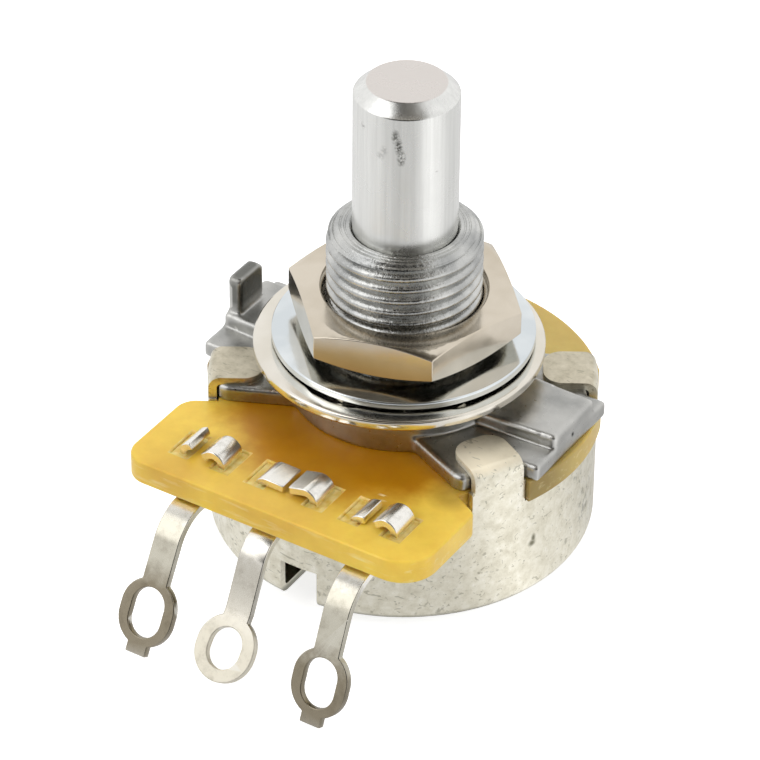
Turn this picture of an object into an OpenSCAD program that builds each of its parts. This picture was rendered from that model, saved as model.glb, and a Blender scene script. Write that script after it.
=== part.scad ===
// Panel potentiometer with a solid round shaft, a threaded bushing and three eyelet terminals.
// The back face of the can lies at z = 0, the shaft points along +Z and the terminals leave towards -Y.

/* [Can] */
// Outer diameter of the drawn can
can_d = 23.8; // [22.8:0.1:25]
// Height of the can's rim above its back face
can_h = 7.4; // [7.2:0.1:8.4]
// Thickness of the can's sheet metal
can_t = 0.5; // [0.4:0.05:0.6]
// Outer radius of the can's drawn corner
can_corner_r = 0.8; // [0.7:0.1:1.4]
// Width of each of the four ears
ear_w = 3.3; // [2.8:0.1:3.5]
// Width of an ear's foot, which stands in its notch in the wafer
foot_w = 3.6; // [3.5:0.05:3.8]
// Direction of the ears, measured from the X axis
ear_angle = 31.5; // [31:0.5:33]
// Direction of the front right ear, which is bent a little towards the side
front_ear_angle = 29; // [28.5:0.5:31]
// Length of an ear's fold, from the can's outside to its tip
ear_reach = 3.4; // [2.6:0.1:3.8]
// Corner radius of an ear's tip
ear_tip_r = 1.2; // [0.6:0.1:1.3]
// Inner radius of an ear's bend
ear_bend_r = 0.25; // [0.1:0.05:0.4]
// Direction of the lanced stop tongue
stop_angle = -89.5; // [-92:0.5:-86]
// Width of the window that the tongue is lanced from
lance_w = 2.55; // [2.4:0.05:3.4]
// Length of the window across the can's back
lance_l = 4.2; // [3.8:0.1:4.6]
// Height of the window in the can's wall
lance_h = 2.75; // [2.2:0.05:3.2]
// Height of the tongue above the back face
tongue_h = 3.5; // [3:0.1:3.7]
// Width of the rim's front cut, which keeps the can clear of the terminals
rim_cut_w = 16.8; // [16:0.2:17]
// Depth of the rim's front cut
rim_cut_h = 1.2; // [0.9:0.1:1.6]

/* [Wafer] */
// How far the round part of the wafer stands out past the can
wafer_lip = 0.3; // [0.1:0.05:0.5]
// Thickness of the laminated wafer
wafer_t = 1.6; // [1.2:0.1:2]
// Width of the board that carries the terminals
board_w = 20.7; // [20.4:0.1:22]
// Distance from the middle of the prongs to the board's front edge
board_front = 3.05; // [2.8:0.05:3.6]
// Corner radius at the board's left front corner
board_left_r = 1.5; // [0.8:0.1:2]
// Corner radius at the board's right front corner
board_right_r = 2.3; // [1.4:0.1:2.6]
// Diameter of the central hole
wafer_hole_d = 8; // [7.2:0.1:8.4]
// Gap between an ear and its notch in the wafer
notch_gap = 0.05; // [0.05:0.05:0.3]
// Extra gap on the board's side of the front right notch
notch_front_gap = 0.65; // [0.2:0.05:0.7]

/* [Track] */
// Mean radius of the resistance track
track_r = 9.3; // [9:0.1:9.6]
// Width of the track
track_w = 1.8; // [1.4:0.1:2]
// Thickness of the track's film
track_t = 0.1; // [0.06:0.02:0.14]
// Angle left open between the track's two ends
track_open = 52; // [48:1:56]

/* [Terminals] */
// Distance between the middle terminal and each outer one
pitch = 6; // [5.6:0.1:6.2]
// Thickness of the terminals' sheet brass
term_t = 0.5; // [0.4:0.05:0.6]
// Width of a terminal's neck
neck_w = 1.75; // [1.4:0.05:2]
// Flattened distance from the middle of the prongs to the centre of an eyelet
eye_reach = 10.2; // [9.6:0.1:11]
// Outer width of an outer eyelet
eye_w = 3.7; // [3.6:0.1:4.4]
// Outer length of an outer eyelet
eye_l = 4.25; // [4.1:0.05:4.8]
// Width of an outer eyelet's hole
eye_hole_w = 2.2; // [2:0.1:2.6]
// Length of an outer eyelet's hole
eye_hole_l = 3.1; // [2.8:0.05:3.3]
// Outer width of the middle eyelet
mid_eye_w = 3.9; // [3.6:0.1:4.1]
// Outer length of the middle eyelet
mid_eye_l = 4.15; // [4.1:0.05:4.8]
// Width of the middle eyelet's hole
mid_hole_w = 2.15; // [2:0.05:2.6]
// Length of the middle eyelet's hole
mid_hole_l = 2.55; // [2.4:0.05:3.3]
// Width of the nib left at an outer eyelet's end
nib_w = 1.4; // [1.2:0.1:2]
// Length of the nib
nib_l = 0.5; // [0.3:0.05:0.7]
// Half of the distance across the two slots of an outer terminal
slots_out = 2.05; // [1.95:0.05:2.15]
// Half of the distance across the two slots of the middle terminal
slots_mid = 2.65; // [2.55:0.05:2.75]
// Width of a prong
prong_w = 2; // [1.6:0.1:2.2]
// Distance from the shaft's axis to the middle of the prongs
prong_reach = 12.1; // [12:0.05:12.4]
// Inner radius of a prong's clinch
prong_bend_r = 0.35; // [0.2:0.05:0.45]
// Length of a prong's slot in the wafer
slot_l = 2.4; // [2.3:0.05:2.6]
// Width of a prong's slot in the wafer
slot_w = 1.2; // [1.15:0.05:1.3]
// Length of the toe that presses each outer terminal on its pad
toe_l = 2.8; // [2.4:0.1:2.9]
// Width of the toe
toe_w = 1.8; // [1.4:0.1:2]
// Outer diameter of the middle terminal's collector ring
collector_d = 12.6; // [12:0.1:13.2]
// Inner diameter of the collector ring
collector_hole_d = 8.8; // [8.6:0.1:9.2]

/* [Bushing] */
// How far the casting's two end faces lie inside the can's outside
plate_inset = 0.05; // [0:0.05:0.4]
// Thickness of the casting's flange, which the ears hold
plate_t = 1; // [0.8:0.1:1.2]
// Half width of the flange at its two ends
plate_end_y = 4; // [3.6:0.1:4]
// Direction of the flange's four cut corners, measured from the X axis
flange_angle = 31; // [30.5:0.5:32]
// Distance from the centre line to the arms' outer edge
arm_y = 7.25; // [6.9:0.05:7.4]
// Height of the raised bar above the wafer
bar_h = 1.9; // [1.5:0.1:2.2]
// Width of the raised bar
bar_w = 5; // [4.4:0.1:5.4]
// Offset of the raised bar towards the back
bar_shift = 0.35; // [0:0.05:0.5]
// How much each long edge of the bar draws in towards its end
bar_draft = 0.25; // [0:0.05:0.4]
// Diameter of the seat under the washers
seat_d = 13.4; // [12.8:0.1:14]
// Height of the seat above the wafer
seat_h = 2.7; // [2.4:0.1:3]
// Diameter over the bushing's thread
bushing_d = 9.44; // [9.3:0.02:9.52]
// Length of the bushing above its seat
bushing_l = 9.05; // [8.5:0.05:10]
// Pitch of the bushing's thread
thread_pitch = 0.794; // [0.7:0.002:0.9]
// Depth of the bushing's thread
thread_depth = 0.42; // [0.3:0.02:0.46]
// Size of the chamfer round the bushing's mouth
bushing_chamfer = 0.6; // [0.4:0.05:0.9]
// Size of the countersink in the bushing's mouth
mouth_chamfer = 0.15; // [0.1:0.05:0.4]
// Width of the locating lug
lug_w = 2.45; // [2:0.05:3]
// Thickness of the locating lug
lug_t = 0.8; // [0.6:0.05:1]
// Height of the locating lug above the seat
lug_h = 1.7; // [1.2:0.1:2.4]
// Offset of the locating lug towards the front
lug_shift = 0.3; // [0:0.05:0.6]

/* [Nut and washers] */
// Outer diameter of the toothed lock washer
lock_d = 17.7; // [17:0.1:18.2]
// Thickness of the lock washer
lock_t = 0.7; // [0.5:0.05:0.8]
// Number of the lock washer's inner teeth
lock_teeth = 12; // [8:1:12]
// Twist of each tooth
lock_twist = 22; // [10:1:24]
// Outer diameter of the flat washer
flat_d = 16; // [15.4:0.1:16.4]
// Thickness of the flat washer
flat_t = 0.5; // [0.4:0.05:0.7]
// Diameter of the holes in both washers
washer_hole_d = 10.2; // [10.2:0.1:10.6]
// Distance that the loose lock washer has slid off centre, towards the front
lock_slide = 0.35; // [0:0.05:0.35]
// Width of the nut across its flats
nut_af = 12.7; // [12.2:0.1:13]
// Thickness of the nut
nut_t = 2.4; // [2:0.1:2.8]
// Gap left under the slack nut
nut_slack = 0.65; // [0:0.05:0.8]
// Angle of the nut's corner chamfers
nut_chamfer_angle = 24; // [15:1:30]
// Turn of the nut about the shaft
nut_turn = 15; // [0:1:59]

/* [Shaft] */
// Diameter of the shaft
shaft_d = 6.35; // [6:0.05:6.5]
// Length of the shaft above the bushing's seat
shaft_l = 19.05; // [17:0.05:22]
// Width of the chamfer at the shaft's end
shaft_chamfer = 0.8; // [0.5:0.05:1]
// Radial gap between the shaft and its bore
shaft_gap = 0.04; // [0.02:0.01:0.08]
// Diameter of the shaft's tail inside the rotor
tail_d = 5; // [4.6:0.1:5.2]
// Distance across the two flats of the tail
tail_flats = 4; // [3.6:0.1:4.2]
// Thickness of the retaining ring
clip_t = 0.6; // [0.4:0.05:0.7]
// Outer diameter of the retaining ring
clip_d = 9; // [8.4:0.1:9.2]

/* [Rotor] */
// Diameter of the rotor's disc
rotor_d = 20.8; // [20:0.1:21.4]
// Thickness of the rotor's disc
rotor_t = 1.1; // [0.9:0.05:1.2]
// Diameter of the rotor's hub
hub_d = 7.8; // [7:0.1:8]
// Turn of the shaft from one stop to the other
travel = 300; // [280:1:306]
// Thickness of the wiper's spring sheet
wiper_t = 0.25; // [0.15:0.05:0.3]

/* [Hidden] */
$fn = 96;
eps = 0.01;

can_r = can_d / 2;
can_in_r = can_r - can_t;
ear_angles = [-front_ear_angle, ear_angle, 180 - ear_angle, 180 + ear_angle];
ear_tip_x = can_r - ear_reach;
wafer_r = can_r + wafer_lip;
plate_r = can_r - plate_inset;
board_reach = prong_reach + board_front;

wafer_top = can_h + wafer_t;
plate_top = wafer_top + plate_t;
bar_top = wafer_top + bar_h;
seat_z = wafer_top + seat_h;
bushing_top = seat_z + bushing_l;
shaft_top = seat_z + shaft_l;

// The ear's sheet lies on the flange, so the flange ends just inside the bend
flange_flat_r = can_in_r - ear_bend_r - 0.03;
flange_flat_half = ear_w / 2 + 0.1;

term_top = can_h - track_t;
term_bottom = term_top - term_t;

// Each tooth leans by the twist, so its corners stand this far above and below the washer
tooth_w = 1.5;
tooth_rise = tooth_w / 2 * sin(lock_twist) + lock_t / 2 * cos(lock_twist);
lock_mid_z = seat_z + tooth_rise;
flat_z = lock_mid_z + tooth_rise;
nut_z = flat_z + flat_t + nut_slack;
// The lock washer has slid towards the front and a little to the left
lock_shift = [-0.28 * lock_slide, -0.96 * lock_slide];

clip_gap = 0.3;
clip_z = wafer_top + clip_gap;
clip_groove_d = shaft_d - 1.6;
clip_room_top = clip_z + clip_t + clip_gap;
tail_z = can_t + 0.6;

rotor_top = term_bottom - 1.35;
finger_run = 3.4;
finger_reach_r = sqrt(pow(track_r, 2) - pow(finger_run, 2));
finger_a = 90 - acos(finger_reach_r / track_r);
wiper_half = 26;
wiper_mid_a = finger_a - wiper_half;
rotor_bottom = rotor_top - rotor_t;
stop_gap = 0.25;

// The tongue stands just inside its window and the rotor's arm meets its two edges
tongue_w = lance_w - 0.2;
tongue_bend_r = 0.3;
tongue_x = can_r - lance_l + tongue_bend_r;
tongue_mid_r = tongue_x + can_t / 2;
arm_in_r = tongue_x - 0.7;
arm_out_r = tongue_x + can_t + 0.7;
arm_half = 180 - travel / 2 - asin((tongue_w / 2 + stop_gap) / arm_in_r);

outer_eye = [eye_w, eye_l, eye_hole_w, eye_hole_l];
middle_eye = [mid_eye_w, mid_eye_l, mid_hole_w, mid_hole_l];
// Each terminal: place in the row, place of its neck, where its bend starts, the bend's outer
// radius and angle, the eyelet's own tilt back, half the distance across its slots, its nib and eyelet
left_form = [-pitch, -pitch + 0.32, board_reach - 0.45, 3.0, 60, 0, slots_out, true, outer_eye];
middle_form = [0, -0.3, board_reach - 0.95, 2.4, 64, 14, slots_mid, false, middle_eye];
right_form = [pitch, pitch + 0.22, board_reach - 0.8, 3.2, 66, 0, slots_out, true, outer_eye];
// Each prong, left one first: how far it is folded over, its length past the fold, the height above
// the wafer where the fold starts, and how far it stands in from its slot's outer end
left_clinch = [[65, 0.3, 0.1, 0.5], [128, 0.45, 0.1, 0.35]];
middle_clinch = [[92, 1.2, -0.3, 0.45], [104, 1.0, 0.05, 0.4]];
right_clinch = [[80, 0.35, -0.3, 0.5], [126, 0.45, 0.1, 0.25]];

// A bar with round ends along Y, of the given width and overall length
module stadium(w, l) {
    reach = (l - w) / 2;
    translate([0, reach]) circle(d = w);
    translate([0, -reach]) circle(d = w);
    square([w, 2 * reach + eps], center = true);
}

// What is taken from a square corner at the origin to round it; the body lies towards +X +Y
module corner_waste(r) {
    difference() {
        translate([-eps, -eps]) square(r + eps);
        translate([r, r]) circle(r);
    }
}

// A ring of rectangular section with a small chamfer on its two outer edges
module ring(d_out, d_in, h, chamfer) {
    rotate_extrude()
        polygon([
            [d_in / 2, 0], [d_out / 2 - chamfer, 0], [d_out / 2, chamfer],
            [d_out / 2, h - chamfer], [d_out / 2 - chamfer, h], [d_in / 2, h]
        ]);
}

// Section of the drawn can, with its wall carried up and turned in as far as the ears reach
module can_section() {
    top = plate_top + can_t;
    difference() {
        square([can_r, top]);
        translate([can_r, 0]) mirror([1, 0]) corner_waste(can_corner_r);
        translate([can_r, top]) rotate(180) corner_waste(ear_bend_r + can_t);
        difference() {
            translate([0, can_t]) square([can_in_r, plate_top - can_t]);
            translate([can_in_r, can_t]) mirror([1, 0]) corner_waste(can_corner_r - can_t);
            translate([can_in_r, plate_top]) rotate(180) corner_waste(ear_bend_r);
        }
        translate([0, plate_top - 1]) square([ear_tip_x - 1, can_t + 2]);
    }
}

module ear_outline() {
    difference() {
        translate([ear_tip_x, -ear_w / 2]) square([ear_reach + 1, ear_w]);
        translate([ear_tip_x, -ear_w / 2]) corner_waste(ear_tip_r);
        translate([ear_tip_x, ear_w / 2]) mirror([0, 1]) corner_waste(ear_tip_r);
    }
}

// What is trimmed off above the rim: all but the ears' feet, and higher up all but the folded ears
module ear_trim() {
    trim_r = can_r + 0.5;
    translate([0, 0, can_h]) linear_extrude(wafer_t) difference() {
        circle(trim_r);
        for (a = ear_angles) rotate(a) translate([ear_tip_x, -foot_w / 2]) square([ear_reach + 1, foot_w]);
    }
    translate([0, 0, wafer_top]) linear_extrude(plate_t + can_t + 1) difference() {
        circle(trim_r);
        for (a = ear_angles) rotate(a) ear_outline();
    }
}

// Section of the stop tongue: out of the back, round its bend and up into the can
module tongue_section() {
    root_x = tongue_x - tongue_bend_r;
    difference() {
        translate([root_x, 0]) square([tongue_bend_r + can_t, tongue_h]);
        translate([tongue_x + can_t, 0]) mirror([1, 0]) corner_waste(tongue_bend_r + can_t);
        difference() {
            translate([root_x - 1, can_t]) square([tongue_bend_r + 1, tongue_h]);
            translate([tongue_x, can_t]) mirror([1, 0]) corner_waste(tongue_bend_r);
        }
    }
}

module rear_cover() {
    color("#cfcdc2") {
        difference() {
            rotate_extrude() can_section();
            ear_trim();
            rotate(stop_angle) translate([can_r - lance_l, -lance_w / 2, -1])
                cube([lance_l + 1, lance_w, lance_h + 1]);
            translate([-rim_cut_w / 2, -can_r - 1, can_h - rim_cut_h])
                cube([rim_cut_w, can_r, rim_cut_h + 1]);
        }
        rotate([90, 0, stop_angle]) linear_extrude(tongue_w, center = true) tongue_section();
    }
}

module board_outline() {
    difference() {
        translate([-board_w / 2, -board_reach]) square([board_w, board_reach - 4]);
        translate([-board_w / 2, -board_reach]) corner_waste(board_left_r);
        translate([board_w / 2, -board_reach]) mirror([1, 0]) corner_waste(board_right_r);
    }
}

module wafer_outline() {
    notch_r = can_in_r - 0.2;
    half = foot_w / 2 + notch_gap;
    difference() {
        union() {
            circle(wafer_r);
            board_outline();
        }
        for (a = ear_angles) rotate(a) translate([notch_r, -half]) square([4, 2 * half]);
        rotate(-front_ear_angle) translate([notch_r, -half - notch_front_gap]) square([4, half]);
        circle(d = wafer_hole_d);
    }
}

// The slots of one pair of prongs
module slots(form) {
    for (side = [-1, 1])
        translate([form[0] + side * (form[6] - slot_w / 2), -prong_reach])
            square([slot_w, slot_l], center = true);
}

module wafer() {
    color("#e0ad3c")
        translate([0, 0, can_h]) linear_extrude(wafer_t) difference() {
            wafer_outline();
            slots(left_form);
            slots(middle_form);
            slots(right_form);
        }
}

// Carbon film on the wafer's inner side, with a pad under each outer terminal
module resistance_track() {
    end_a = track_open / 2;
    pad_y = prong_reach - prong_w / 2;
    color("#2b2926")
        translate([0, 0, term_top]) linear_extrude(track_t) {
            difference() {
                circle(track_r + track_w / 2);
                circle(track_r - track_w / 2);
                polygon([
                    [0, 0], [-20 * sin(end_a), -20 * cos(end_a)], [20 * sin(end_a), -20 * cos(end_a)]
                ]);
            }
            for (side = [-1, 1])
                translate([side * pitch - toe_w / 2, -pad_y])
                    square([toe_w, pad_y - track_r * cos(end_a) + 1]);
        }
}

// A prong with its outer face on the YZ plane, folded over towards -X
module prong(fold) {
    bend_z = wafer_top + fold[2];
    translate([-fold[3], 0, 0]) {
        translate([-term_t, -prong_w / 2, term_bottom])
            cube([term_t, prong_w, bend_z - term_bottom]);
        translate([-term_t - prong_bend_r, 0, bend_z]) rotate([90, 0, 0]) {
            rotate_extrude(angle = fold[0], $fn = 48)
                translate([prong_bend_r, -prong_w / 2]) square([term_t, prong_w]);
            rotate(fold[0]) translate([prong_bend_r, -eps, -prong_w / 2])
                cube([term_t, fold[1], prong_w]);
        }
    }
}

// Neck and eyelet of a terminal, flat, running towards -Y from the end of the bend
module neck(length, tilt, eye) {
    bend_y = length - eye[1] / 2 - 0.3;
    linear_extrude(term_t) translate([-neck_w / 2, -bend_y - 0.2]) square([neck_w, bend_y + 0.2 + eps]);
    translate([0, -bend_y, term_t]) rotate([-tilt, 0, 0]) translate([0, bend_y, -term_t])
        linear_extrude(term_t) children();
}

module eyelet_outline(length, nib, eye) {
    difference() {
        union() {
            translate([0, -length]) stadium(eye[0], eye[1]);
            translate([-neck_w / 2, -length]) square([neck_w, eye[1] / 2 + 0.4]);
            if (nib)
                translate([-nib_w / 2, -length - eye[1] / 2 - nib_l]) square([nib_w, nib_l + 0.6]);
        }
        translate([0, -length]) stadium(eye[2], eye[3]);
    }
}

// Everything of a terminal but what it does inside the can
module terminal(form, clinch) {
    bend_y = form[2];
    bend_r = form[3];
    length = prong_reach + eye_reach - bend_y - bend_r * form[4] * PI / 180;
    root_y = prong_reach + prong_w / 2;
    translate([0, 0, term_bottom]) linear_extrude(term_t) {
        translate([form[0] - form[6], -root_y]) square([2 * form[6], prong_w]);
        polygon([
            [form[0] - form[6], -root_y + eps], [form[0] + form[6], -root_y + eps],
            [form[1] + neck_w / 2, -root_y - 0.7], [form[1] + neck_w / 2, -bend_y],
            [form[1] - neck_w / 2, -bend_y], [form[1] - neck_w / 2, -root_y - 0.7]
        ]);
    }
    translate([form[0] + form[6], -prong_reach, 0]) prong(clinch[1]);
    translate([form[0] - form[6], -prong_reach, 0]) mirror([1, 0, 0]) prong(clinch[0]);
    translate([form[1], -bend_y, term_top - bend_r]) {
        rotate([180, -90, 0]) rotate_extrude(angle = form[4])
            translate([bend_r - term_t, -neck_w / 2]) square([term_t, neck_w]);
        rotate([form[4], 0, 0]) translate([0, 0, bend_r - term_t])
            neck(length, form[5], form[8]) eyelet_outline(length, form[7], form[8]);
    }
}

// Flat toe that presses on the track's pad, short of the circle that the wiper's tip runs on
module toe(form) {
    translate([form[0] - toe_w / 2, -prong_reach, term_bottom]) cube([toe_w, toe_l, term_t]);
}

module terminal_left() {
    color("#d8d4c6") {
        terminal(left_form, left_clinch);
        toe(left_form);
    }
}

module terminal_right() {
    color("#d8d4c6") {
        terminal(right_form, right_clinch);
        toe(right_form);
    }
}

// The middle terminal and the collector ring are one stamping
module terminal_middle() {
    strip_w = 2;
    color("#d8d4c6") {
        terminal(middle_form, middle_clinch);
        translate([0, 0, term_bottom]) linear_extrude(term_t) {
            difference() {
                circle(d = collector_d);
                circle(d = collector_hole_d);
            }
            translate([-strip_w / 2, -prong_reach])
                square([strip_w, prong_reach - collector_d / 2 + 0.6]);
        }
    }
}

// One quarter of the flange, between the X axis and the arm on the -Y side
module flange_quarter() {
    c = cos(flange_angle);
    s = sin(flange_angle);
    inner = [flange_flat_r * c + flange_flat_half * s, -flange_flat_r * s + flange_flat_half * c];
    outer = [flange_flat_r * c - flange_flat_half * s, -flange_flat_r * s - flange_flat_half * c];
    polygon([
        [0, 0], [0, -seat_d / 2 + 1], [seat_d * 0.33, -arm_y + 1.7], [outer[0] - 0.5, -arm_y],
        outer, inner, [inner[0], -plate_end_y], [plate_r, -plate_end_y], [plate_r, 0]
    ]);
}

module flange_outline() {
    for (side = [0, 1]) mirror([side, 0]) {
        flange_quarter();
        mirror([0, 1]) flange_quarter();
    }
}

module locating_lug() {
    lug_x = plate_r - 0.15;
    round_r = 0.3;
    top = seat_z + lug_h;
    translate([-lug_x, -lug_shift, 0]) rotate([90, 0, 90]) linear_extrude(lug_t) {
        translate([-lug_w / 2, bar_top - 0.5]) square([lug_w, top - bar_top + 0.5 - round_r]);
        translate([-lug_w / 2 + round_r, top - 1]) square([lug_w - 2 * round_r, 1]);
        for (side = [-1, 1]) translate([side * (lug_w / 2 - round_r), top - round_r]) circle(round_r);
    }
}

// The raised bar is widest where it leaves the seat and draws in to its two ends
module bar_outline() {
    half = bar_w / 2;
    end_x = plate_r - 0.05;
    side_x = seat_d / 2;
    polygon([
        [-end_x, -half + bar_draft], [-side_x, -half], [side_x, -half], [end_x, -half + bar_draft],
        [end_x, half - bar_draft], [side_x, half], [-side_x, half], [-end_x, half - bar_draft]
    ]);
}

// Section of the bushing; ring grooves at the thread's pitch stand for its turns
module bushing_section(root_z) {
    r = bushing_d / 2;
    neck_z = bushing_top - bushing_chamfer;
    turns = floor((neck_z - seat_z) / thread_pitch);
    crest = 0.08 * thread_pitch;
    grooves = [
        for (i = [turns : -1 : 1]) each [
            [r, neck_z - i * thread_pitch + crest],
            [r - thread_depth, neck_z - (i - 0.5) * thread_pitch],
            [r, neck_z - (i - 1) * thread_pitch - crest]
        ]
    ];
    polygon(concat(
        [[0, root_z], [r, root_z]], grooves,
        [[r, neck_z], [r - bushing_chamfer, bushing_top], [0, bushing_top]]
    ));
}

// Zinc casting: flange, raised bar, washer seat, locating lug and threaded bushing
module bushing_plate() {
    bore_d = shaft_d + 2 * shaft_gap;
    room_d = clip_d + 1;
    color("#8f9194") difference() {
        union() {
            translate([0, 0, wafer_top]) linear_extrude(plate_t) flange_outline();
            translate([0, bar_shift, wafer_top + eps]) linear_extrude(bar_h - eps) bar_outline();
            translate([0, 0, wafer_top]) cylinder(d1 = seat_d + 0.4, d2 = seat_d, h = seat_h);
            rotate_extrude() bushing_section(seat_z - 1);
            locating_lug();
        }
        translate([0, 0, wafer_top - 1]) cylinder(d = bore_d, h = bushing_top);
        translate([0, 0, wafer_top - 1]) cylinder(d = room_d, h = clip_room_top - wafer_top + 1);
        translate([0, 0, bushing_top - mouth_chamfer])
            cylinder(d1 = bore_d, d2 = bore_d + 2 * mouth_chamfer + 2 * eps, h = mouth_chamfer + eps);
    }
}

module lock_washer() {
    rim_in = lock_d / 2 - 2.1;
    color("#d6d2c4") translate([lock_shift[0], lock_shift[1], lock_mid_z]) {
        translate([0, 0, -lock_t / 2]) ring(lock_d, 2 * rim_in, lock_t, 0.12);
        difference() {
            for (i = [0 : lock_teeth - 1])
                rotate(i * 360 / lock_teeth) translate([washer_hole_d / 2, 0, 0])
                    rotate([lock_twist, 0, 0]) translate([0, -tooth_w / 2, -lock_t / 2])
                        cube([rim_in - washer_hole_d / 2 + 0.5, tooth_w, lock_t]);
            cylinder(d = washer_hole_d, h = 4, center = true);
        }
    }
}

module flat_washer() {
    color("#c9d0d6") translate([0, 0, flat_z]) ring(flat_d, washer_hole_d, flat_t, 0.1);
}

// The chamfer cones run on past the corners, so that each cuts only the corners
module hex_nut() {
    corner_r = nut_af / 2 / cos(30);
    chamfer_r = nut_af / 2 - 0.05;
    cone_r = corner_r + 0.4;
    cone_h = (cone_r - chamfer_r) * tan(nut_chamfer_angle);
    bore_d = bushing_d + 0.06;
    mouth = 0.35;
    mouth_d = bore_d + 2 * (mouth + eps);
    color("#c9c0ae") translate([0, 0, nut_z]) difference() {
        intersection() {
            rotate(nut_turn) cylinder(r = corner_r, h = nut_t, $fn = 6);
            rotate_extrude()
                polygon([
                    [0, 0], [chamfer_r, 0], [cone_r, cone_h],
                    [cone_r, nut_t - cone_h], [chamfer_r, nut_t], [0, nut_t]
                ]);
        }
        translate([0, 0, -1]) cylinder(d = bore_d, h = nut_t + 2);
        translate([0, 0, nut_t - mouth]) cylinder(d1 = bore_d, d2 = mouth_d, h = mouth + eps);
        translate([0, 0, -eps]) cylinder(d1 = mouth_d, d2 = bore_d, h = mouth + eps);
    }
}

module shaft() {
    chamfer_h = shaft_chamfer * 0.9;
    groove_low = clip_z - 0.03;
    groove_high = clip_z + clip_t + 0.03;
    tail_top = rotor_top + 1.4;
    r = shaft_d / 2;
    color("#dcdcda") difference() {
        rotate_extrude()
            polygon([
                [0, tail_z], [tail_d / 2 - 0.2, tail_z], [tail_d / 2, tail_z + 0.2], [tail_d / 2, tail_top],
                [r, tail_top], [r, groove_low], [clip_groove_d / 2, groove_low],
                [clip_groove_d / 2, groove_high], [r, groove_high],
                [r, shaft_top - chamfer_h], [r - shaft_chamfer, shaft_top], [0, shaft_top]
            ]);
        for (side = [-1, 1])
            translate([side * (tail_flats / 2 + 5), 0, tail_top / 2 - eps])
                cube([10, 20, tail_top], center = true);
    }
}

// Open ring that snaps into the shaft's groove
module retaining_ring() {
    mouth = 3;
    color("#8c8a84") translate([0, 0, clip_z]) linear_extrude(clip_t) difference() {
        circle(d = clip_d);
        circle(d = clip_groove_d + 0.04);
        translate([-mouth / 2, 0]) square([mouth, clip_d]);
    }
}

// Two pegs that hold the wiper on the rotor
module rotor_pegs(d, h) {
    for (side = [-1, 1]) rotate(wiper_mid_a + side * 14)
        translate([track_r - 1.9, 0, rotor_top - 0.5]) cylinder(d = d, h = h + 0.5);
}

// Arm under the disc that meets the stop tongue at the two ends of the travel
module stop_arm() {
    arm_bottom = can_t + 0.8;
    rotate(stop_angle + 180 - arm_half) translate([0, 0, arm_bottom]) rotate_extrude(angle = 2 * arm_half)
        translate([arm_in_r, 0]) square([arm_out_r - arm_in_r, rotor_bottom - arm_bottom + eps]);
}

module rotor() {
    hub_top = term_bottom + 0.3;
    tail_top = rotor_top + 1.4;
    fit = 0.02;
    color("#e9e6dc") {
        difference() {
            union() {
                translate([0, 0, rotor_bottom]) cylinder(d = rotor_d, h = rotor_t);
                translate([0, 0, tail_z]) cylinder(d = hub_d, h = hub_top - tail_z);
                stop_arm();
            }
            translate([0, 0, tail_top - eps]) cylinder(r = shaft_d / 2 + fit, h = 5);
            intersection() {
                translate([0, 0, -1]) cylinder(r = tail_d / 2 + fit, h = 20);
                cube([tail_flats + 2 * fit, 20, 40], center = true);
            }
        }
        rotor_pegs(1.1, wiper_t + 0.35);
    }
}

// Spring finger: its section rises from the wiper's plate to a rounded contact
module finger(r, w, z_contact) {
    rise = z_contact - rotor_top;
    tip = 0.9;
    contact_r = 0.4;
    root = 0.8;
    translate([r, 0, rotor_top]) rotate([90, 0, 90]) linear_extrude(w, center = true) {
        polygon([
            [-root, 0], [0.2, 0],
            [finger_run, rise - wiper_t - 0.25], [finger_run + tip, rise - wiper_t - 0.55],
            [finger_run + tip, rise - 0.55], [finger_run, rise - 0.25], [0, wiper_t], [-root, wiper_t]
        ]);
        translate([finger_run, rise - contact_r]) circle(contact_r, $fn = 24);
    }
}

// Two fingers leave the wiper's plate side by side: one runs on the track, one on the collector
module wiper_contact() {
    inner_r = hub_d / 2 + 0.2;
    outer_r = finger_reach_r + 0.9;
    running_gap = 0.06;
    color("#c8a45a") {
        difference() {
            rotate(wiper_mid_a - wiper_half) translate([0, 0, rotor_top])
                rotate_extrude(angle = 2 * wiper_half)
                    translate([inner_r, 0]) square([outer_r - inner_r, wiper_t]);
            translate([0, 0, -0.25]) rotor_pegs(1.14, 2);
        }
        rotate(finger_a) finger(finger_reach_r, 1.2, term_top - running_gap);
        rotate(finger_a) finger((collector_d + collector_hole_d) / 4, 1, term_bottom - running_gap);
    }
}

rear_cover();
wafer();
resistance_track();
terminal_left();
terminal_middle();
terminal_right();
bushing_plate();
lock_washer();
flat_washer();
hex_nut();
shaft();
retaining_ring();
rotor();
wiper_contact();
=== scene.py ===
import math

import bmesh
import bpy
from mathutils import Matrix, Vector


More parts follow.
